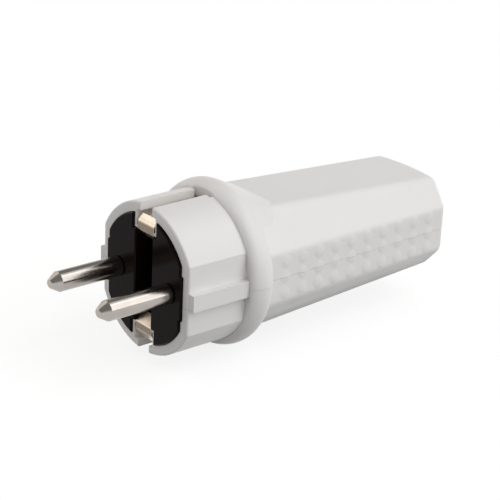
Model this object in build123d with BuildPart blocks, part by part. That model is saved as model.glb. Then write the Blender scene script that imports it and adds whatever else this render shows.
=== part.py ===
"""Straight two-pin plug with earth contacts in two channels, rewirable, with a housing in two halves.

The plug's axis lies along Y with the pins toward -Y. The nose ring's front is the plane Y = 0,
X runs along the line of the pins and Z is up. All sizes are in millimetres.
"""
import math
import os
from build123d import *

os.makedirs("parts", exist_ok=True)

# Pins
pin_spacing = 19.0
pin_diameter = 4.8
pin_length = 19.0
pin_cone_length = 2.3
pin_end_diameter = 2.0
pin_end_rounding = 0.6
pin_neck_diameter = 4.4
pin_neck_depth = 1.0
pin_neck_height = 0.3

# Nose
nose_diameter = 36.2
nose_across_flats = 32.2
nose_bore_diameter = 31.4
nose_bore_across_flats = 27.2
key_recess_across = 28.4
key_recess_height = 10.8
rib_across = 35.6
rib_height = 3.9
rib_setback = 0.3
rib_joint_end = 15.7
nose_edge_rounding = 0.5

# Flange, dished in front, and the round neck behind it
flange_diameter = 40.0
flange_front = 16.1
flange_center = 19.35
flange_front_height = 1.8
flange_rear_radius = 3.9
flange_dish = 0.7
neck_diameter = 33.0
neck_end = 31.0
neck_root_rounding = 2.5

# Grip outline at two stations: distance behind the face, half width, half height of the flat side,
# half width of the flat top, half height, rounding of the corners
grip_front = (31.5, 16.9, 6.3, 9.3, 14.7, 3.0)
grip_rear = (83.4, 15.27, 5.84, 9.4, 11.55, 3.0)
grip_end_radius = 45.0
grip_end_rounding = 2.8
panel_front = 27.6
panel_end_radius = 11.2
wall = 2.2
rear_wall = 4.4

# Raised bumps on both flat sides of the grip
bump_rows = 3
bump_columns = 10
bump_row_pitch = 3.85
bump_column_pitch = 5.25
bump_first = 27.4
bump_diameter = 3.2
bump_height = 0.35
bump_root = 0.12

# Earth channels at top and bottom
channel_mouth_width = 4.3
channel_width = 7.0
channel_wall = 0.7
channel_lip = 2.1
channel_depth = 3.8
channel_lip_end = 15.2
channel_mouth_end = 16.4

# Pin carrier
carrier_proud = 0.6
carrier_gap = 6.3
carrier_gap_depth = 13.0
carrier_flange_diameter = 33.4
carrier_flange_thickness = 2.0
carrier_rear = 20.1
carrier_edge = 0.3

# Pin terminals
terminal_width = 8.0
terminal_height = 9.0
terminal_end = 31.0
terminal_wire_diameter = 3.4
terminal_wire_depth = 7.5
terminal_screw_diameter = 3.2
terminal_screw_head_diameter = 6.0
terminal_screw_head_height = 2.4
terminal_screw_place = 27.2
terminal_screw_tip = 1.0
terminal_stop_thickness = 1.6
terminal_stop_top = -2.2

# Earth strap and its terminal
strap_width = 6.2
strap_thickness = 0.8
strap_drop = 0.9
strap_setback = 0.4
strap_bevel_height = 1.1
strap_bevel_length = 0.6
strap_lip_gap = 0.1
earth_screw_diameter = 3.5
earth_screw_head_diameter = 6.4
earth_screw_head_height = 2.4
earth_screw_tip = 15.0
earth_washer_size = 8.4
earth_washer_thickness = 1.0

# Cord clamp and cord entry
clamp_place = 66.5
clamp_length = 6.0
clamp_width = 22.8
clamp_thickness = 2.0
clamp_seat = 3.0
clamp_screw_spread = 17.0
clamp_screw_diameter = 3.0
clamp_screw_head_diameter = 5.4
clamp_screw_head_height = 2.2
clamp_screw_tip = -5.0
clamp_post_diameter = 6.4
cord_entry_diameter = 9.5
cord_entry_edge = 0.6
saddle_thickness = 3.0
saddle_top = -0.6

# Housing screws, entered from the underside
housing_screw_spread = 12.8
housing_screw_place = 46.0
housing_screw_diameter = 3.0
housing_screw_head_diameter = 5.6
housing_screw_head_height = 2.2
housing_screw_seat = -10.4
housing_screw_tip = 7.4
housing_post_diameter = 6.8

# Slots of all screws
screw_slot_width = 0.8
screw_slot_depth = 0.9

# Clearances
carrier_clearance = 0.1
pin_clearance = 0.03
thread_clearance = 0.02
screw_clearance = 0.3
strap_clearance = 0.3
parting_gap = 0.06

# Derived places
reach = 120.0
front_rim = flange_diameter / 2 - flange_front_height
rear_rim = flange_diameter / 2 - flange_rear_radius
root_center = neck_diameter / 2 + neck_root_rounding
root_run = math.sqrt((flange_rear_radius + neck_root_rounding) ** 2 - (root_center - rear_rim) ** 2)
root_place = flange_center + root_run
root_angle = math.degrees(math.atan2(root_run, root_center - rear_rim))
carrier_seat = carrier_rear - carrier_flange_thickness - carrier_clearance
cavity_start = carrier_rear + carrier_clearance
bump_radius = (bump_diameter ** 2 / 4 + bump_height ** 2) / 2 / bump_height
bump_latitude = math.degrees(math.asin(1 - (bump_height + bump_root) / bump_radius))
channel_roof = nose_diameter / 2 - channel_lip
channel_floor = channel_roof - channel_depth
strap_surface = channel_roof - strap_drop
strap_lip_end = channel_floor + strap_lip_gap
carrier_notch = nose_diameter / 2 + channel_floor - strap_thickness - strap_clearance
washer_front = carrier_rear + strap_thickness
earth_head_front = washer_front + earth_washer_thickness
pin_sides = (-pin_spacing / 2, pin_spacing / 2)
pin_tip = -carrier_proud - pin_length
clamp_screw_sides = (-clamp_screw_spread / 2, clamp_screw_spread / 2)
housing_screw_sides = (-housing_screw_spread / 2, housing_screw_spread / 2)
base_up = (Align.CENTER, Align.CENTER, Align.MIN)
top_down = (Align.CENTER, Align.CENTER, Align.MAX)


def station_at(place):
    """Outline station of the straight grip at one distance behind the face."""
    share = (place - grip_front[0]) / (grip_rear[0] - grip_front[0])
    return tuple(a + (b - a) * share for a, b in zip(grip_front, grip_rear))


def grip_outline(station, inset):
    """Rounded eight-sided outline of the grip at one station, drawn inside by a wall's thickness."""
    place, side, band, top, height, rounding = station
    with BuildSketch(Plane.XZ.offset(-place)) as outline:
        Polygon(
            (top, height), (side, band), (side, -band), (top, -height),
            (-top, -height), (-side, -band), (-side, band), (-top, height),
            align=None,
        )
        fillet(outline.vertices(), radius=rounding)
        if inset > 0:
            offset(amount=-inset)
    return outline.sketch


def carrier_outline(clearance):
    """Outline of the carrier's seat in the nose, drawn smaller by the clearance."""
    notch = channel_floor - channel_wall - clearance
    with BuildSketch(Plane.XZ) as outline:
        Circle(nose_bore_diameter / 2 - clearance)
        Rectangle(nose_bore_across_flats - 2 * clearance, nose_bore_diameter, mode=Mode.INTERSECT)
        Rectangle(key_recess_across - 2 * clearance, key_recess_height - 2 * clearance)
        with Locations((0, notch + nose_diameter / 2), (0, -notch - nose_diameter / 2)):
            Rectangle(channel_width + 2 * (channel_wall + clearance), nose_diameter, mode=Mode.SUBTRACT)
    return outline.sketch


bump_places = []
for column in range(bump_columns):
    bump_y = bump_first + column * bump_column_pitch
    bump_x = station_at(bump_y)[1] - bump_root
    for row in range(bump_rows):
        bump_z = (row - (bump_rows - 1) / 2) * bump_row_pitch
        bump_places.append(Location((bump_x, bump_y, bump_z), (0, 90, 0)))
        bump_places.append(Location((-bump_x, bump_y, bump_z), (0, -90, 0)))

# Grip: eight-sided and tapered, with the cord entry in its domed rear end
with BuildPart() as grip:
    loft([grip_outline(station_at(flange_center), 0), grip_outline(grip_rear, 0)], ruled=True)
    with Locations((0, grip_rear[0] - grip_end_radius, 0)):
        Cylinder(grip_end_radius, reach, mode=Mode.INTERSECT)
    fillet(grip.faces().sort_by(Axis.Y)[-1].edges(), radius=grip_end_rounding)
    with Locations(Location((0, grip_rear[0], 0), (90, 0, 0))):
        Cylinder(cord_entry_diameter / 2, 2 * (rear_wall + wall), mode=Mode.SUBTRACT)
    chamfer(grip.edges().sort_by_distance((0, grip_rear[0], 0))[0], length=cord_entry_edge)

# Flange and neck: the flat panels at top and bottom cut an arched end into the round neck
with BuildPart() as flange:
    with BuildSketch(Plane.XY):
        with BuildLine():
            EllipticalCenterArc(
                (front_rim, flange_center), flange_front_height, flange_center - flange_front,
                -90, arc_size=90,
            )
            CenterArc((rear_rim, flange_center), flange_rear_radius, 0, root_angle)
            CenterArc((root_center, root_place), neck_root_rounding, 180, root_angle)
            Polyline(
                (neck_diameter / 2, root_place),
                (neck_diameter / 2, neck_end),
                (0, neck_end),
                (0, flange_front + flange_dish),
                (nose_across_flats / 2, flange_front + flange_dish),
                (front_rim, flange_front),
            )
        make_face()
    revolve(axis=Axis.Y)
    with Locations((0, panel_front + panel_end_radius, 0)):
        Cylinder(panel_end_radius, reach, mode=Mode.SUBTRACT)

# Outer form of the closed housing
with BuildPart() as outer_form:
    with BuildSketch(Plane.XZ):
        Circle(nose_diameter / 2)
        Rectangle(nose_across_flats, nose_diameter, mode=Mode.INTERSECT)
    extrude(amount=-flange_center)
    fillet(outer_form.faces().sort_by(Axis.Y)[0].edges(), radius=nose_edge_rounding)
    with Locations((0, (rib_setback + flange_center) / 2, 0)):
        Box(rib_across, flange_center - rib_setback, rib_height)
    add(flange.part)
    add(grip.part)
    with Locations(*bump_places):
        Sphere(bump_radius, arc_size1=bump_latitude, align=base_up)

# Hollow of the housing: carrier seat, wiring space and earth channels
with BuildPart() as hollow:
    extrude(carrier_outline(0), amount=-cavity_start)
    with BuildSketch(Plane.XZ.offset(-carrier_seat)):
        Circle(carrier_flange_diameter / 2 + carrier_clearance)
    extrude(amount=-(cavity_start - carrier_seat))
    cavity_rear = station_at(grip_rear[0] - rear_wall)
    loft([grip_outline(station_at(cavity_start), wall), grip_outline(cavity_rear, wall)], ruled=True)
    with BuildSketch(Plane.XZ):
        with Locations((0, channel_roof / 2 + channel_floor / 2), (0, -channel_roof / 2 - channel_floor / 2)):
            Rectangle(channel_width, channel_depth)
    extrude(amount=-(washer_front + strap_clearance))
    with BuildSketch(Plane.XZ):
        with Locations((0, channel_roof), (0, -channel_roof)):
            Rectangle(channel_mouth_width, 2 * channel_depth)
    extrude(amount=-channel_lip_end)
    with BuildSketch(Plane.XZ.offset(-channel_lip_end)):
        with Locations((0, channel_roof), (0, -channel_roof)):
            Rectangle(channel_width, 2 * channel_depth)
    extrude(amount=-(channel_mouth_end - channel_lip_end))

# Space of the upper half: each half keeps one whole rib, so that the halves lock at the nose
with BuildPart() as upper_space:
    with Locations((0, 0, parting_gap / 2)):
        Box(reach, 2 * reach, reach, align=base_up)
    with Locations((nose_diameter / 2, rib_joint_end / 2 - 1, 0)):
        Box(nose_diameter / 2, rib_joint_end + 2, rib_height)
    with Locations((-nose_diameter / 2, rib_joint_end / 2 - 1 + parting_gap / 2, 0)):
        Box(
            nose_diameter / 2, rib_joint_end + 2 + parting_gap, rib_height + 2 * parting_gap,
            mode=Mode.SUBTRACT,
        )

# Posts of the upper shell
with BuildPart() as upper_posts:
    with Locations(*[(x, housing_screw_place, 0) for x in housing_screw_sides]):
        Cylinder(housing_post_diameter / 2, nose_diameter / 2, align=base_up)
    add(outer_form.part, mode=Mode.INTERSECT)
    with Locations(*[(x, housing_screw_place, 0) for x in housing_screw_sides]):
        Cylinder(
            housing_screw_diameter / 2 + thread_clearance, housing_screw_tip + screw_clearance,
            align=base_up, mode=Mode.SUBTRACT,
        )

# Upper shell
with BuildPart() as upper_shell:
    add(outer_form.part)
    add(hollow.part, mode=Mode.SUBTRACT)
    add(upper_space.part, mode=Mode.INTERSECT)
    add(upper_posts.part)
upper_shell.part.label = "upper_shell"
export_step(upper_shell.part, "parts/upper_shell.step")

# Posts, cord saddle and terminal stops of the lower shell
with BuildPart() as lower_posts:
    with Locations(*[(x, housing_screw_place, 0) for x in housing_screw_sides]):
        Cylinder(housing_post_diameter / 2, nose_diameter / 2, align=top_down)
    with Locations(*[(x, clamp_place, clamp_seat) for x in clamp_screw_sides]):
        Cylinder(clamp_post_diameter / 2, nose_diameter / 2, align=top_down)
    with Locations((0, clamp_place, saddle_top)):
        Box(clamp_screw_spread, saddle_thickness, nose_diameter / 2, align=top_down)
    with Locations(*[(x, terminal_end + terminal_stop_thickness / 2, terminal_stop_top) for x in pin_sides]):
        Box(terminal_width, terminal_stop_thickness, nose_diameter / 2, align=top_down)
    with Locations(Location((0, clamp_place, 0), (90, 0, 0))):
        Cylinder(cord_entry_diameter / 2, 2 * saddle_thickness, mode=Mode.SUBTRACT)
    add(outer_form.part, mode=Mode.INTERSECT)
    with Locations(*[(x, clamp_place, clamp_seat) for x in clamp_screw_sides]):
        Cylinder(
            clamp_screw_diameter / 2 + thread_clearance, clamp_seat - clamp_screw_tip + screw_clearance,
            align=top_down, mode=Mode.SUBTRACT,
        )

# Lower shell
with BuildPart() as lower_shell:
    add(outer_form.part)
    add(hollow.part, mode=Mode.SUBTRACT)
    add(upper_space.part.rotate(Axis.Y, 180), mode=Mode.INTERSECT)
    add(lower_posts.part)
    with Locations(*[(x, housing_screw_place, 0) for x in housing_screw_sides]):
        Cylinder(
            housing_screw_diameter / 2 + screw_clearance, nose_diameter / 2,
            align=top_down, mode=Mode.SUBTRACT,
        )
    with Locations(*[(x, housing_screw_place, housing_screw_seat) for x in housing_screw_sides]):
        Cylinder(
            housing_screw_head_diameter / 2 + screw_clearance, nose_diameter / 2,
            align=top_down, mode=Mode.SUBTRACT,
        )
lower_shell.part.label = "lower_shell"
export_step(lower_shell.part, "parts/lower_shell.step")

# Pin carrier: two halves with a gap between them, joined by a bridge at the back
with BuildPart() as pin_carrier:
    extrude(carrier_outline(carrier_clearance), amount=carrier_proud)
    extrude(carrier_outline(carrier_clearance), amount=-carrier_rear)
    with BuildSketch(Plane.XZ.offset(-carrier_rear)):
        Circle(carrier_flange_diameter / 2)
        with Locations((0, carrier_notch), (0, -carrier_notch)):
            Rectangle(channel_width + 2 * channel_wall, nose_diameter, mode=Mode.SUBTRACT)
    extrude(amount=carrier_flange_thickness)
    with Locations((0, carrier_gap_depth / 2 - 1, 0)):
        Box(carrier_gap, carrier_gap_depth + 2, nose_diameter, mode=Mode.SUBTRACT)
    chamfer(pin_carrier.faces().filter_by(Axis.Y).group_by(Axis.Y)[0].edges(), length=carrier_edge)
    with Locations(*[Location((x, 0, 0), (90, 0, 0)) for x in pin_sides]):
        Cylinder(pin_diameter / 2 + pin_clearance, reach, mode=Mode.SUBTRACT)
    with Locations(Location((0, carrier_rear, 0), (90, 0, 0))):
        Cylinder(
            earth_screw_diameter / 2 + screw_clearance, carrier_rear - earth_screw_tip + screw_clearance,
            align=base_up, mode=Mode.SUBTRACT,
        )
pin_carrier.part.label = "pin_carrier"
export_step(pin_carrier.part, "parts/pin_carrier.step")


def contact_pin(x):
    """Turned pin with a coned tip and a terminal block behind the carrier."""
    with BuildPart() as pin:
        with BuildSketch(Plane.XY):
            with BuildLine():
                Polyline(
                    (0, pin_tip),
                    (pin_end_diameter / 2, pin_tip),
                    (pin_diameter / 2, pin_tip + pin_cone_length),
                    (pin_diameter / 2, -carrier_proud - pin_neck_height),
                    (pin_neck_diameter / 2, -carrier_proud - pin_neck_height),
                    (pin_neck_diameter / 2, -carrier_proud + pin_neck_depth),
                    (pin_diameter / 2, -carrier_proud + pin_neck_depth),
                    (pin_diameter / 2, carrier_rear),
                    (0, carrier_rear),
                    close=True,
                )
            make_face()
        revolve(axis=Axis.Y)
        fillet(pin.edges().group_by(Axis.Y)[0], radius=pin_end_rounding)
        with Locations((0, carrier_rear, 0)):
            Box(
                terminal_width, terminal_end - carrier_rear, terminal_height,
                align=(Align.CENTER, Align.MIN, Align.CENTER),
            )
        with Locations(Location((0, terminal_end, 0), (90, 0, 0))):
            Cylinder(terminal_wire_diameter / 2, terminal_wire_depth, align=base_up, mode=Mode.SUBTRACT)
        with Locations((0, terminal_screw_place, 0)):
            Cylinder(
                terminal_screw_diameter / 2 + thread_clearance, terminal_height,
                align=base_up, mode=Mode.SUBTRACT,
            )
    return pin.part.moved(Location((x, 0, 0)))


# Contact pins
with BuildPart() as line_pin:
    add(contact_pin(pin_sides[0]))
line_pin.part.label = "line_pin"
export_step(line_pin.part, "parts/line_pin.step")

with BuildPart() as neutral_pin:
    add(contact_pin(pin_sides[1]))
neutral_pin.part.label = "neutral_pin"
export_step(neutral_pin.part, "parts/neutral_pin.step")

# Terminal screws
with BuildPart() as terminal_screws:
    with Locations(*[(x, terminal_screw_place, terminal_height / 2) for x in pin_sides]):
        Cylinder(terminal_screw_head_diameter / 2, terminal_screw_head_height, align=base_up)
        Cylinder(terminal_screw_diameter / 2, terminal_height / 2 - terminal_screw_tip, align=top_down)
    with Locations(*[
        (x, terminal_screw_place, terminal_height / 2 + terminal_screw_head_height) for x in pin_sides
    ]):
        Box(terminal_screw_head_diameter, screw_slot_width, 2 * screw_slot_depth, mode=Mode.SUBTRACT)
terminal_screws.part.label = "terminal_screws"
export_step(terminal_screws.part, "parts/terminal_screws.step")

# Earth strap: one bent strip with a contact arm in each channel
with BuildPart() as earth_strap:
    with BuildSketch(Plane.YZ):
        with BuildLine():
            inner = strap_surface - strap_thickness
            lip_back = strap_setback + strap_thickness
            Polyline(
                (strap_setback, strap_lip_end),
                (strap_setback, strap_surface - strap_bevel_height),
                (strap_setback + strap_bevel_length, strap_surface),
                (washer_front, strap_surface),
                (washer_front, -strap_surface),
                (strap_setback + strap_bevel_length, -strap_surface),
                (strap_setback, -strap_surface + strap_bevel_height),
                (strap_setback, -strap_lip_end),
                (lip_back, -strap_lip_end),
                (lip_back, -inner + strap_bevel_height / 2),
                (lip_back + strap_bevel_length / 2, -inner),
                (carrier_rear, -inner),
                (carrier_rear, inner),
                (lip_back + strap_bevel_length / 2, inner),
                (lip_back, inner - strap_bevel_height / 2),
                (lip_back, strap_lip_end),
                close=True,
            )
        make_face()
    extrude(amount=strap_width / 2, both=True)
    with Locations(Location((0, carrier_rear, 0), (90, 0, 0))):
        Cylinder(earth_screw_diameter / 2 + thread_clearance, 4 * strap_thickness, mode=Mode.SUBTRACT)
earth_strap.part.label = "earth_strap"
export_step(earth_strap.part, "parts/earth_strap.step")

# Earth washer
with BuildPart() as earth_washer:
    with BuildSketch(Plane.XZ.offset(-washer_front)):
        RectangleRounded(earth_washer_size, earth_washer_size, earth_washer_thickness)
        Circle(earth_screw_diameter / 2 + screw_clearance, mode=Mode.SUBTRACT)
    extrude(amount=-earth_washer_thickness)
earth_washer.part.label = "earth_washer"
export_step(earth_washer.part, "parts/earth_washer.step")

# Earth screw
with BuildPart() as earth_screw:
    with Locations(Location((0, earth_head_front, 0), (-90, 0, 0))):
        Cylinder(earth_screw_head_diameter / 2, earth_screw_head_height, align=base_up)
        Cylinder(earth_screw_diameter / 2, earth_head_front - earth_screw_tip, align=top_down)
    with Locations((0, earth_head_front + earth_screw_head_height, 0)):
        Box(screw_slot_width, 2 * screw_slot_depth, earth_screw_head_diameter, mode=Mode.SUBTRACT)
earth_screw.part.label = "earth_screw"
export_step(earth_screw.part, "parts/earth_screw.step")

# Cord clamp bar
with BuildPart() as cord_clamp:
    with Locations((0, clamp_place, clamp_seat)):
        Box(clamp_width, clamp_length, clamp_thickness, align=base_up)
    fillet(cord_clamp.edges().filter_by(Axis.Z), radius=clamp_length / 3)
    with Locations(*[(x, clamp_place, clamp_seat) for x in clamp_screw_sides]):
        Cylinder(clamp_screw_diameter / 2 + screw_clearance, 4 * clamp_thickness, mode=Mode.SUBTRACT)
cord_clamp.part.label = "cord_clamp"
export_step(cord_clamp.part, "parts/cord_clamp.step")

# Clamp screws
with BuildPart() as clamp_screws:
    with Locations(*[(x, clamp_place, clamp_seat + clamp_thickness) for x in clamp_screw_sides]):
        Cylinder(clamp_screw_head_diameter / 2, clamp_screw_head_height, align=base_up)
        Cylinder(
            clamp_screw_diameter / 2, clamp_seat + clamp_thickness - clamp_screw_tip,
            align=top_down,
        )
    with Locations(*[
        (x, clamp_place, clamp_seat + clamp_thickness + clamp_screw_head_height) for x in clamp_screw_sides
    ]):
        Box(screw_slot_width, clamp_screw_head_diameter, 2 * screw_slot_depth, mode=Mode.SUBTRACT)
clamp_screws.part.label = "clamp_screws"
export_step(clamp_screws.part, "parts/clamp_screws.step")

# Housing screws
with BuildPart() as housing_screws:
    with Locations(*[(x, housing_screw_place, housing_screw_seat) for x in housing_screw_sides]):
        Cylinder(housing_screw_head_diameter / 2, housing_screw_head_height, align=top_down)
        Cylinder(housing_screw_diameter / 2, housing_screw_tip - housing_screw_seat, align=base_up)
    with Locations(*[
        (x, housing_screw_place, housing_screw_seat - housing_screw_head_height) for x in housing_screw_sides
    ]):
        Box(housing_screw_head_diameter, screw_slot_width, 2 * screw_slot_depth, mode=Mode.SUBTRACT)
housing_screws.part.label = "housing_screws"
export_step(housing_screws.part, "parts/housing_screws.step")
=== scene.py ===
import math

import bmesh
import bpy
from mathutils import Matrix, Vector


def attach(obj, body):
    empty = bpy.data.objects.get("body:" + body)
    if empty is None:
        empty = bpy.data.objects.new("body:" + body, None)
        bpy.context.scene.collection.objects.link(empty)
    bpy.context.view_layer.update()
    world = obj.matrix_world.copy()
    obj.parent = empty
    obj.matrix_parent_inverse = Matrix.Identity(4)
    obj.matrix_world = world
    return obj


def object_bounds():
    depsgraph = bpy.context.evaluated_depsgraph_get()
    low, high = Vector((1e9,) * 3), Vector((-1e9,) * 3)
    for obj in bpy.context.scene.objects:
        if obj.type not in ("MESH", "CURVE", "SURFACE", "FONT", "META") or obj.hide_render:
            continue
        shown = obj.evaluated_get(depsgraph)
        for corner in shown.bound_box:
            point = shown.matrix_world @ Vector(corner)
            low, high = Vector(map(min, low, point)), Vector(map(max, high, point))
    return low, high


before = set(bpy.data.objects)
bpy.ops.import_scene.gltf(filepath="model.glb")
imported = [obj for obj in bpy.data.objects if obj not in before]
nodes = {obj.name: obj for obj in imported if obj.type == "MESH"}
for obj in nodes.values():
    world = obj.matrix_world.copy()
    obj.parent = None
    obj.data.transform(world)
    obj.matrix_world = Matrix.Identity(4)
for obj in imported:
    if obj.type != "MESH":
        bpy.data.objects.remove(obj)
cad_low, cad_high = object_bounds()

MM = 0.001


# Shader nodes
def new_material(name):
    material = bpy.data.materials.new(name)
    material.use_nodes = True
    tree = material.node_tree
    return material, tree, tree.nodes["Principled BSDF"]


def add_node(tree, kind, **values):
    node = tree.nodes.new(kind)
    for key, value in values.items():
        if key in node.inputs:
            node.inputs[key].default_value = value
        else:
            setattr(node, key, value)
    return node


def feed(tree, value, socket):
    """Link an output to an input, or set a constant on it."""
    if isinstance(value, bpy.types.NodeSocket):
        tree.links.new(value, socket)
    else:
        socket.default_value = value


def calculate(tree, operation, *values):
    node = add_node(tree, "ShaderNodeMath", operation=operation)
    for value, socket in zip(values, node.inputs):
        feed(tree, value, socket)
    return node.outputs[0]


def map_range(tree, value, source, target=(0.0, 1.0), interpolation="LINEAR"):
    """A value's run over the source span, turned into a run over the target span."""
    node = add_node(tree, "ShaderNodeMapRange", interpolation_type=interpolation)
    node.inputs["From Min"].default_value, node.inputs["From Max"].default_value = source
    node.inputs["To Min"].default_value, node.inputs["To Max"].default_value = target
    tree.links.new(value, node.inputs["Value"])
    return node.outputs["Result"]


def mix(tree, kind, factor, first, second):
    """A colour (RGBA) or a direction (VECTOR) between two, picked apart by type from the node's other sockets."""
    node = add_node(tree, "ShaderNodeMix", data_type=kind)
    tree.links.new(factor, node.inputs["Factor"])
    for name, value in (("A", first), ("B", second)):
        feed(tree, value, [socket for socket in node.inputs if socket.type == kind and socket.name == name][0])
    return [socket for socket in node.outputs if socket.type == kind][0]


def split_axes(tree, vector):
    node = add_node(tree, "ShaderNodeSeparateXYZ")
    tree.links.new(vector, node.inputs["Vector"])
    return node.outputs


def object_place(tree):
    return add_node(tree, "ShaderNodeTexCoord").outputs["Object"]


# Materials
NOISE_SPAN = (0.3, 0.7)
COARSE_DETAIL, FINE_DETAIL = 3.0, 4.0
PLASTIC_DRIFT_SCALE = 60.0
PLASTIC_CLOUD_SCALE = 220.0
PLASTIC_GRAIN_STRENGTH = 0.25
METAL_DRIFT_SCALE = 180.0
METAL_LINE_STRENGTH = 0.2


def noise(tree, place, scale, detail=COARSE_DETAIL, stretch=(1.0, 1.0, 1.0)):
    """Noise in object space, stretched along an axis by a small factor there."""
    mapping = add_node(tree, "ShaderNodeMapping")
    mapping.inputs["Scale"].default_value = stretch
    tree.links.new(place, mapping.inputs["Vector"])
    texture = add_node(tree, "ShaderNodeTexNoise", Scale=scale, Detail=detail)
    tree.links.new(mapping.outputs["Vector"], texture.inputs["Vector"])
    return texture.outputs["Fac"]


def bump(tree, height, strength, distance):
    node = add_node(tree, "ShaderNodeBump", Strength=strength, Distance=distance)
    tree.links.new(height, node.inputs["Height"])
    return node.outputs["Normal"]


def two_tone(tree, place, scale, light, dark):
    """A colour that drifts between two tones."""
    drift = map_range(tree, noise(tree, place, scale), NOISE_SPAN)
    return mix(tree, "RGBA", drift, (*light, 1.0), (*dark, 1.0))


def moulded(name, light, dark, roughness, spread, grain_scale, grain_depth):
    """Moulded plastic: slow drift of tone, cloudy gloss and a fine spark-eroded grain."""
    material, tree, shader = new_material(name)
    place = object_place(tree)
    tree.links.new(two_tone(tree, place, PLASTIC_DRIFT_SCALE, light, dark), shader.inputs["Base Color"])
    cloud = noise(tree, place, PLASTIC_CLOUD_SCALE)
    gloss = map_range(tree, cloud, NOISE_SPAN, (roughness - spread, roughness + spread))
    tree.links.new(gloss, shader.inputs["Roughness"])
    grain = noise(tree, place, grain_scale, detail=FINE_DETAIL)
    tree.links.new(bump(tree, grain, PLASTIC_GRAIN_STRENGTH, grain_depth), shader.inputs["Normal"])
    return material


def plated(name, light, dark, roughness, spread, line_stretch, line_scale, line_depth):
    """Plated metal with fine lines left by turning or rolling."""
    material, tree, shader = new_material(name)
    shader.inputs["Metallic"].default_value = 1.0
    place = object_place(tree)
    tree.links.new(two_tone(tree, place, METAL_DRIFT_SCALE, light, dark), shader.inputs["Base Color"])
    lines = noise(tree, place, line_scale, detail=FINE_DETAIL, stretch=line_stretch)
    gloss = map_range(tree, lines, NOISE_SPAN, (roughness - spread, roughness + spread))
    tree.links.new(gloss, shader.inputs["Roughness"])
    tree.links.new(bump(tree, lines, METAL_LINE_STRENGTH, line_depth), shader.inputs["Normal"])
    return material


white = moulded(
    "white_plastic", light=(0.80, 0.788, 0.778), dark=(0.785, 0.772, 0.76),
    roughness=0.36, spread=0.04, grain_scale=3500.0, grain_depth=0.02 * MM,
)
black = moulded(
    "black_plastic", light=(0.0065, 0.0038, 0.0032), dark=(0.0085, 0.0052, 0.0045),
    roughness=0.14, spread=0.03, grain_scale=2500.0, grain_depth=0.01 * MM,
)
black.node_tree.nodes["Principled BSDF"].inputs["Specular IOR Level"].default_value = 0.045
ivory = moulded(
    "clamp_plastic", light=(0.72, 0.70, 0.67), dark=(0.68, 0.66, 0.63),
    roughness=0.45, spread=0.05, grain_scale=2500.0, grain_depth=0.02 * MM,
)
pin_metal = plated(
    "nickel_brass", light=(0.46, 0.425, 0.395), dark=(0.41, 0.375, 0.345), roughness=0.20, spread=0.03,
    line_stretch=(0.08, 1.0, 0.08), line_scale=2600.0, line_depth=0.01 * MM,
)
strip_metal = plated(
    "nickel_strip", light=(0.80, 0.72, 0.62), dark=(0.74, 0.65, 0.54), roughness=0.30, spread=0.06,
    line_stretch=(1.0, 0.05, 1.0), line_scale=1500.0, line_depth=0.01 * MM,
)
screw_metal = plated(
    "plated_steel", light=(0.72, 0.72, 0.72), dark=(0.64, 0.64, 0.65), roughness=0.28, spread=0.06,
    line_stretch=(1.0, 1.0, 0.3), line_scale=1800.0, line_depth=0.01 * MM,
)

# The grip's bumps melt into its side panels: there the shading normal leans towards the panel's own
PANEL_NORMAL = (0.9995, 0.0314, 0.0)
PANEL_LIKENESS = (0.82, 0.90)
PANEL_EDGE = (5.7 * MM, 4.7 * MM)
GRIP_FRONT = (24.0 * MM, 26.0 * MM)
GRIP_LEAN = 0.55

white_tree = white.node_tree
white_grain = white_tree.nodes["Principled BSDF"].inputs["Normal"].links[0].from_node
surface = add_node(white_tree, "ShaderNodeNewGeometry").outputs["Normal"]
white_place = split_axes(white_tree, object_place(white_tree))
on_grip = map_range(white_tree, white_place["Y"], GRIP_FRONT, (0.0, GRIP_LEAN))
off_middle = calculate(white_tree, "ABSOLUTE", white_place["Z"])
on_panel = map_range(white_tree, off_middle, PANEL_EDGE, interpolation="SMOOTHSTEP")
panel_share = calculate(white_tree, "MULTIPLY", on_grip, on_panel)
softened = surface
for side in (1.0, -1.0):
    panel = (side * PANEL_NORMAL[0], PANEL_NORMAL[1], PANEL_NORMAL[2])
    likeness = add_node(white_tree, "ShaderNodeVectorMath", operation="DOT_PRODUCT")
    white_tree.links.new(surface, likeness.inputs[0])
    likeness.inputs[1].default_value = panel
    close = map_range(white_tree, likeness.outputs["Value"], PANEL_LIKENESS, interpolation="SMOOTHSTEP")
    softened = mix(white_tree, "VECTOR", calculate(white_tree, "MULTIPLY", close, panel_share), softened, panel)

# The grip's bottom edges look rounded: near them, along its taper, the shading normal turns down
GRIP_TAPER = 0.0607
TAPER_OFFSET = -1.91 * MM
BOTTOM_EDGE = (9.5 * MM, 15.0 * MM)
BOTTOM_TURN = 1.2

taper = calculate(white_tree, "MULTIPLY_ADD", white_place["Y"], GRIP_TAPER, TAPER_OFFSET)
depth = calculate(white_tree, "SUBTRACT", taper, white_place["Z"])
near_edge = map_range(white_tree, depth, BOTTOM_EDGE, (0.0, BOTTOM_TURN), "SMOOTHSTEP")
edge_share = calculate(white_tree, "MULTIPLY", near_edge, on_grip)
softened = mix(white_tree, "VECTOR", edge_share, softened, (0.0, 0.0, -1.0))
unit = add_node(white_tree, "ShaderNodeVectorMath", operation="NORMALIZE")
white_tree.links.new(softened, unit.inputs[0])
white_tree.links.new(unit.outputs["Vector"], white_grain.inputs["Normal"])

# Painted shade on the strip: its forward-facing front faces get a dark brown mixed into their colour
FRONT_SHADE_FACING = (-0.93, -0.97)
PAINTED_SHADE_TONE = (0.24, 0.19, 0.15, 1.0)

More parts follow.
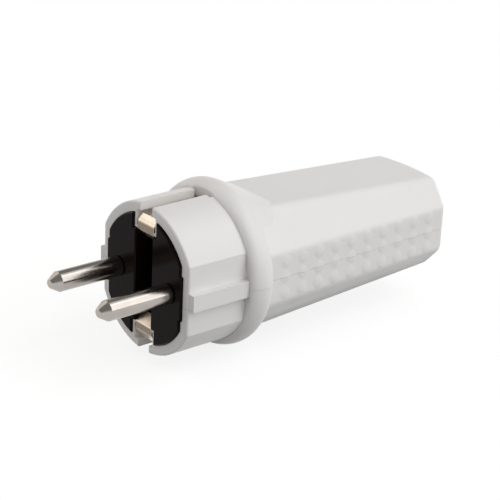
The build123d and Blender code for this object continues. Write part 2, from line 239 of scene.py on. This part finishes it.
strip_tree = strip_metal.node_tree
strip_colour = strip_tree.nodes["Principled BSDF"].inputs["Base Color"]
strip_facing = split_axes(strip_tree, add_node(strip_tree, "ShaderNodeNewGeometry").outputs["Normal"])
# painted shade: where the normal faces forward, the strip's colour turns dark brown
front_shade = map_range(strip_tree, strip_facing["Y"], FRONT_SHADE_FACING)
strip_tree.links.new(
    mix(strip_tree, "RGBA", front_shade, strip_colour.links[0].from_socket, PAINTED_SHADE_TONE), strip_colour
)

finishes = {
    "upper_shell": white,
    "lower_shell": white,
    "pin_carrier": black,
    "line_pin": pin_metal,
    "neutral_pin": pin_metal,
    "earth_strap": strip_metal,
    "terminal_screws": screw_metal,
    "earth_screw": screw_metal,
    "earth_washer": screw_metal,
    "cord_clamp": ivory,
    "clamp_screws": screw_metal,
    "housing_screws": screw_metal,
}
for node_name, finish in finishes.items():
    for material_slot in nodes[node_name].material_slots:
        material_slot.material = finish

# Folded ends of the earth strip: over the front edge of each channel's inner wall and back into the gap
STRIP_END_WIDTH = 6.1 * MM
STRIP_END_EDGE = 0.06 * MM
STRIP_END_PROFILE = (
    (0.38, 14.02), (-0.02, 13.45), (-0.10, 13.2), (-0.10, 11.55), (0.0, 11.3),
    (2.1, 9.2), (2.4, 9.45), (0.45, 11.42), (0.0, 11.42), (0.0, 12.25), (0.38, 12.3),
)


def strip_end(name, side):
    mesh = bpy.data.meshes.new(name)
    form = bmesh.new()
    outline = [form.verts.new((-STRIP_END_WIDTH / 2, y * MM, side * z * MM)) for y, z in STRIP_END_PROFILE]
    face = form.faces.new(outline)
    pushed = bmesh.ops.extrude_face_region(form, geom=[face])["geom"]
    moved = [item for item in pushed if isinstance(item, bmesh.types.BMVert)]
    bmesh.ops.translate(form, verts=moved, vec=(STRIP_END_WIDTH, 0.0, 0.0))
    bmesh.ops.recalc_face_normals(form, faces=form.faces)
    form.to_mesh(mesh)
    form.free()
    piece = bpy.data.objects.new(name, mesh)
    bpy.context.collection.objects.link(piece)
    edges = piece.modifiers.new("edges", "BEVEL")
    edges.width = STRIP_END_EDGE
    edges.segments = 2
    mesh.materials.append(strip_metal)
    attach(piece, "root")


strip_end("earth_strip_end_top", 1.0)
strip_end("earth_strip_end_bottom", -1.0)


# White pieces lofted through closed rings of points in millimetres
def steps_between(first, last, steps):
    return [first + (last - first) * step / steps for step in range(steps + 1)]


def white_loft(name, rings, sharp_angle):
    mesh = bpy.data.meshes.new(name)
    form = bmesh.new()
    loops = [[form.verts.new((x * MM, y * MM, z * MM)) for x, y, z in ring] for ring in rings]
    count = len(loops[0])
    for first, second in zip(loops, loops[1:]):
        for here in range(count):
            after = (here + 1) % count
            form.faces.new((first[here], first[after], second[after], second[here]))
    form.faces.new(loops[0])
    form.faces.new(loops[-1])
    bmesh.ops.recalc_face_normals(form, faces=form.faces)
    for face in form.faces:
        face.smooth = True
    form.to_mesh(mesh)
    form.free()
    mesh.set_sharp_from_angle(angle=math.radians(sharp_angle))
    piece = bpy.data.objects.new(name, mesh)
    bpy.context.collection.objects.link(piece)
    mesh.materials.append(white)
    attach(piece, "root")


# Flare of the upper shell: the curve in which the flange's rear side runs out on the neck, as far back as the
# arched front of the grip's top panel. Its depth fades down the slopes, where it ends inside the shell.
FLARE_START = (20.81, 19.70)
FLARE_SLOPES = (-0.404, -0.30)
FLARE_FADE = (34.0, 58.0)
FLARE_LAST = 30.9
FLARE_INSIDE = 15.6
FLARE_SUNK = 0.08
FLARE_MARGIN = 0.1
FLARE_STEPS = 14
FLARE_TURNS = 96
FLARE_SHARP_ANGLE = 30.0
FLANGE_ARC = (19.35, 16.1, 3.9)
NECK_RADIUS = 16.5
PANEL_ARCH = (38.8, 11.2)
PARTING_HALF_GAP = 0.03


def flare_radius(y, end, amount):
    """Radius at a place along the axis: a cubic from the flange to the neck, or less of it."""
    length = end - FLARE_START[0]
    t = (y - FLARE_START[0]) / length
    start_share = 2 * t ** 3 - 3 * t ** 2 + 1
    full = start_share * FLARE_START[1] + (1 - start_share) * NECK_RADIUS
    full += (t ** 3 - 2 * t ** 2 + t) * length * FLARE_SLOPES[0] + (t ** 3 - t ** 2) * length * FLARE_SLOPES[1]
    centre, base, radius = FLANGE_ARC
    arc = base + math.sqrt(max(radius ** 2 - (y - centre) ** 2, 0.0))
    hidden = max(arc, NECK_RADIUS) - FLARE_SUNK
    return hidden + (full - hidden) * amount


def flare_ring(angle):
    above = math.degrees(min(angle, math.pi - angle))
    share = min(max((above - FLARE_FADE[0]) / (FLARE_FADE[1] - FLARE_FADE[0]), 0.0), 1.0)
    amount = share * share * (3.0 - 2.0 * share)
    arch_centre, arch_radius = PANEL_ARCH
    across = min(NECK_RADIUS * abs(math.cos(angle)), arch_radius)
    end = min(arch_centre - math.sqrt(arch_radius ** 2 - across ** 2) - FLARE_MARGIN, FLARE_LAST)
    profile = [(y, flare_radius(y, end, amount)) for y in steps_between(FLARE_START[0], end, FLARE_STEPS)]
    profile += [(end, FLARE_INSIDE), (FLARE_START[0], FLARE_INSIDE)]
    return [(radius * math.cos(angle), y, max(radius * math.sin(angle), PARTING_HALF_GAP)) for y, radius in profile]


flare_rings = [flare_ring(angle) for angle in steps_between(0.0, math.pi, FLARE_TURNS)]
white_loft("flange_flare_upper", flare_rings, FLARE_SHARP_ANGLE)

# End of each earth channel: the flange's rounded front side carried on across the channel's mouth
STOP_HALF_WIDTH = 3.5
STOP_FRONT, STOP_BACK = 16.2, 16.5
STOP_RADII = (16.3, 18.96)
STOP_STEPS = 18
STOP_SHARP_ANGLE = 40.0
FLANGE_FRONT = (19.35, 18.2, 3.25, 1.8)


def stop_front(radius):
    centre, base, length, height = FLANGE_FRONT
    rise = max(radius - base, 0.0) / height
    return max(centre - length * math.sqrt(1.0 - rise * rise), STOP_FRONT)


def channel_stop(name, side):
    profile = [(stop_front(radius), radius) for radius in steps_between(*STOP_RADII, STOP_STEPS)]
    profile += [(STOP_BACK, STOP_RADII[1]), (STOP_BACK, STOP_RADII[0])]
    rings = [
        [(x, y, side * math.sqrt(radius ** 2 - x ** 2)) for y, radius in profile]
        for x in steps_between(-STOP_HALF_WIDTH, STOP_HALF_WIDTH, STOP_STEPS)
    ]
    white_loft(name, rings, STOP_SHARP_ANGLE)


channel_stop("channel_stop_top", 1.0)
channel_stop("channel_stop_bottom", -1.0)

# Camera at the photograph's angle
PHOTO_SIZE = 500.0
VIEW_AZIMUTH = math.radians(49.7)
VIEW_ELEVATION = math.radians(22.5)
VIEW_ROLL = math.radians(2.7)
VIEW_DISTANCE = 415.0 * MM
VIEW_FOCAL = 1750.0
VIEW_TARGET = Vector((0.0, 30.0 * MM, 0.0))
TARGET_IN_PHOTO = (247.1, 250.8)
SENSOR_WIDTH = 36.0
CLIP_START = 0.01

back = Vector((
    math.sin(VIEW_AZIMUTH) * math.cos(VIEW_ELEVATION),
    -math.cos(VIEW_AZIMUTH) * math.cos(VIEW_ELEVATION),
    math.sin(VIEW_ELEVATION),
))
level_right = Vector((math.cos(VIEW_AZIMUTH), math.sin(VIEW_AZIMUTH), 0.0))
level_up = back.cross(level_right)
right = level_right * math.cos(VIEW_ROLL) + level_up * math.sin(VIEW_ROLL)
up = level_up * math.cos(VIEW_ROLL) - level_right * math.sin(VIEW_ROLL)
camera_data = bpy.data.cameras.new("camera")
camera_data.sensor_width = SENSOR_WIDTH
camera_data.lens = VIEW_FOCAL / PHOTO_SIZE * SENSOR_WIDTH
camera_data.shift_x = (PHOTO_SIZE / 2 - TARGET_IN_PHOTO[0]) / PHOTO_SIZE
camera_data.shift_y = (TARGET_IN_PHOTO[1] - PHOTO_SIZE / 2) / PHOTO_SIZE
camera_data.clip_start = CLIP_START
camera = bpy.data.objects.new("camera", camera_data)
bpy.context.collection.objects.link(camera)
turn = Matrix((right, up, back)).transposed().to_4x4()
camera.matrix_world = Matrix.Translation(VIEW_TARGET + back * VIEW_DISTANCE) @ turn
bpy.context.scene.camera = camera

# Floor under the flange: dull to the lamps, bright where the camera or a reflection sees it
FLOOR_HEIGHT = cad_low[2] - 0.2 * MM
FLOOR_HALF = 3.0
FLOOR_TONE = (0.25, 0.25, 0.25, 1.0)
FLOOR_GLOW = 0.81
WHITE = (1.0, 1.0, 1.0, 1.0)

floor_mesh = bpy.data.meshes.new("floor")
floor_corners = ((-1, -1), (1, -1), (1, 1), (-1, 1))
floor_mesh.from_pydata(
    [(x * FLOOR_HALF, y * FLOOR_HALF, FLOOR_HEIGHT) for x, y in floor_corners], [], [(0, 1, 2, 3)]
)
floor = bpy.data.objects.new("floor", floor_mesh)
bpy.context.collection.objects.link(floor)
floor_material, floor_tree, floor_shader = new_material("floor_white")
floor_shader.inputs["Base Color"].default_value = FLOOR_TONE
floor_shader.inputs["Roughness"].default_value = 0.9
floor_shader.inputs["Specular IOR Level"].default_value = 0.1
floor_shader.inputs["Emission Color"].default_value = WHITE
light_path = add_node(floor_tree, "ShaderNodeLightPath")
seen = light_path.outputs["Is Camera Ray"]
for ray_kind in ("Is Glossy Ray", "Is Transmission Ray"):
    seen = calculate(floor_tree, "MAXIMUM", seen, light_path.outputs[ray_kind])
floor_tree.links.new(
    calculate(floor_tree, "MULTIPLY", seen, FLOOR_GLOW), floor_shader.inputs["Emission Strength"]
)
floor_mesh.materials.append(floor_material)

# World: a white wall round the horizon, dimmer overhead
SKY_HEIGHTS = (0.10, 0.45)
SKY_LEVELS = (1.0, 0.30)

world = bpy.data.worlds.new("world")
bpy.context.scene.world = world
world.use_nodes = True
world_tree = world.node_tree
background = world_tree.nodes["Background"]
background.inputs["Color"].default_value = WHITE
sky = split_axes(world_tree, add_node(world_tree, "ShaderNodeTexCoord").outputs["Generated"])
sky_level = map_range(world_tree, sky["Z"], SKY_HEIGHTS, SKY_LEVELS, "SMOOTHSTEP")
world_tree.links.new(sky_level, background.inputs["Strength"])


# Studio lamps
def softbox(name, place, aim, size, power, tint=(1.0, 1.0, 1.0)):
    lamp = bpy.data.lights.new(name, "AREA")
    lamp.shape = "RECTANGLE"
    lamp.size, lamp.size_y = size
    lamp.energy = power
    lamp.color = tint
    lamp_object = bpy.data.objects.new(name, lamp)
    bpy.context.collection.objects.link(lamp_object)
    lamp_object.location = place
    direction = Vector(aim) - Vector(place)
    lamp_object.rotation_euler = direction.to_track_quat("-Z", "Y").to_euler()


softbox("key", place=(0.53, 0.30, 0.50), aim=(0.0, 0.03, 0.0), size=(0.84, 0.84), power=4.15)
softbox("rear", place=(0.06, 0.50, 0.62), aim=(0.0, 0.0, 0.0), size=(0.4, 0.35), power=0.45)
softbox(
    "fill", place=(-0.52, -0.25, 0.40), aim=(0.0, 0.0, 0.0), size=(0.65, 0.65), power=1.25, tint=(1.0, 0.91, 0.83)
)

bpy.context.scene.view_settings.view_transform = "Standard"
